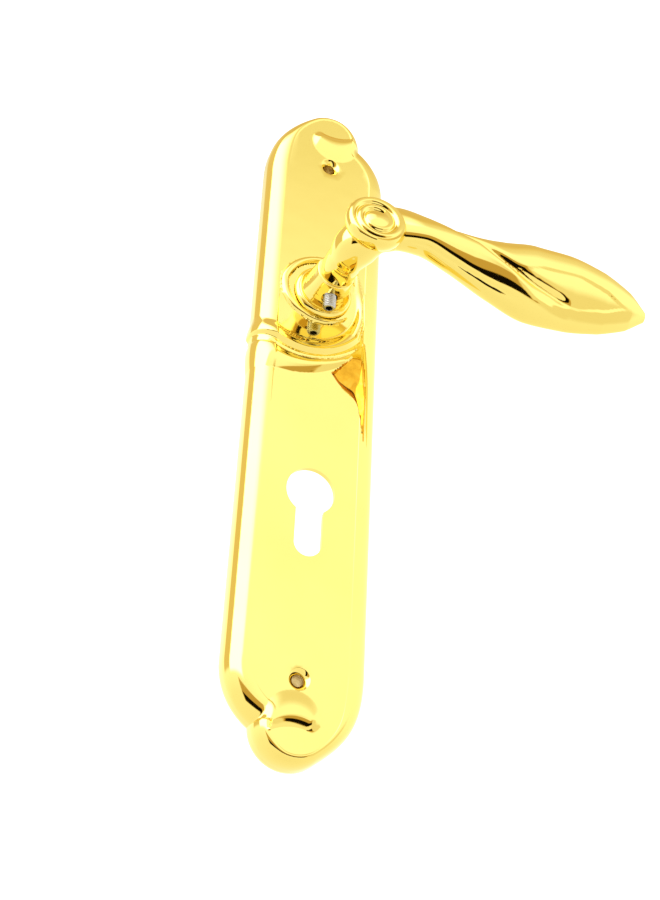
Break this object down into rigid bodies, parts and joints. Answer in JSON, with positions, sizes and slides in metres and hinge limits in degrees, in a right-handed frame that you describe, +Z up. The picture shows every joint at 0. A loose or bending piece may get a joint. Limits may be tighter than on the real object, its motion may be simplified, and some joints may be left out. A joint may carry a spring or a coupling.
{
  "type": "lever door handle on backplate",
  "caption": "Polished brass scroll lever handle on a long hollow backplate with a euro-profile cylinder cut-out and a sprung lever.",
  "frame": {"origin": "the door face on the lever's turning axis", "axes": "+X to the right, the way the lever points; +Y into the door; +Z up the door"},
  "size_m": [0.1443, 0.0577, 0.2734],
  "materials": {
    "brass": "mirror-polished brass",
    "bright_steel": "bright steel, threads slightly dull",
    "zinc_steel": "zinc-plated pressed steel",
    "spring_steel": "dark oiled spring steel",
    "nylon": "off-white moulded nylon"
  },
  "bodies": {
    "plate": {"backplate": "brass", "neck_ferrule": "brass", "bearing_bush": "nylon", "spring_housing": "zinc_steel", "stop_pin": "zinc_steel", "return_spring": "spring_steel", "wave_washer": "spring_steel", "housing_cover": "zinc_steel", "fixing_pillar_upper": "brass", "fixing_pillar_lower": "brass", "housing_screw_1": "bright_steel", "housing_screw_2": "bright_steel", "housing_screw_3": "bright_steel", "housing_screw_4": "bright_steel"},
    "handle": {"lever": "brass", "spring_driver": "zinc_steel", "thrust_washer": "nylon", "retaining_ring": "spring_steel"},
    "grub": {"grub_screw": "bright_steel"}
  },
  "joints": [
    {"name": "lever_turn", "type": "hinge", "parent": "plate", "child": "handle", "pos_m": [0, 0, 0], "axis": [0, 1, 0], "range_deg": [0, 40], "stiffness_Nm_per_rad": 0.9, "springref_deg": -34.38, "deforming": ["return_spring"]},
    {"name": "grub_travel", "type": "slide", "parent": "handle", "child": "grub", "axis": [0, 0, 1], "range_m": [0, 0.0024]}
  ]
}
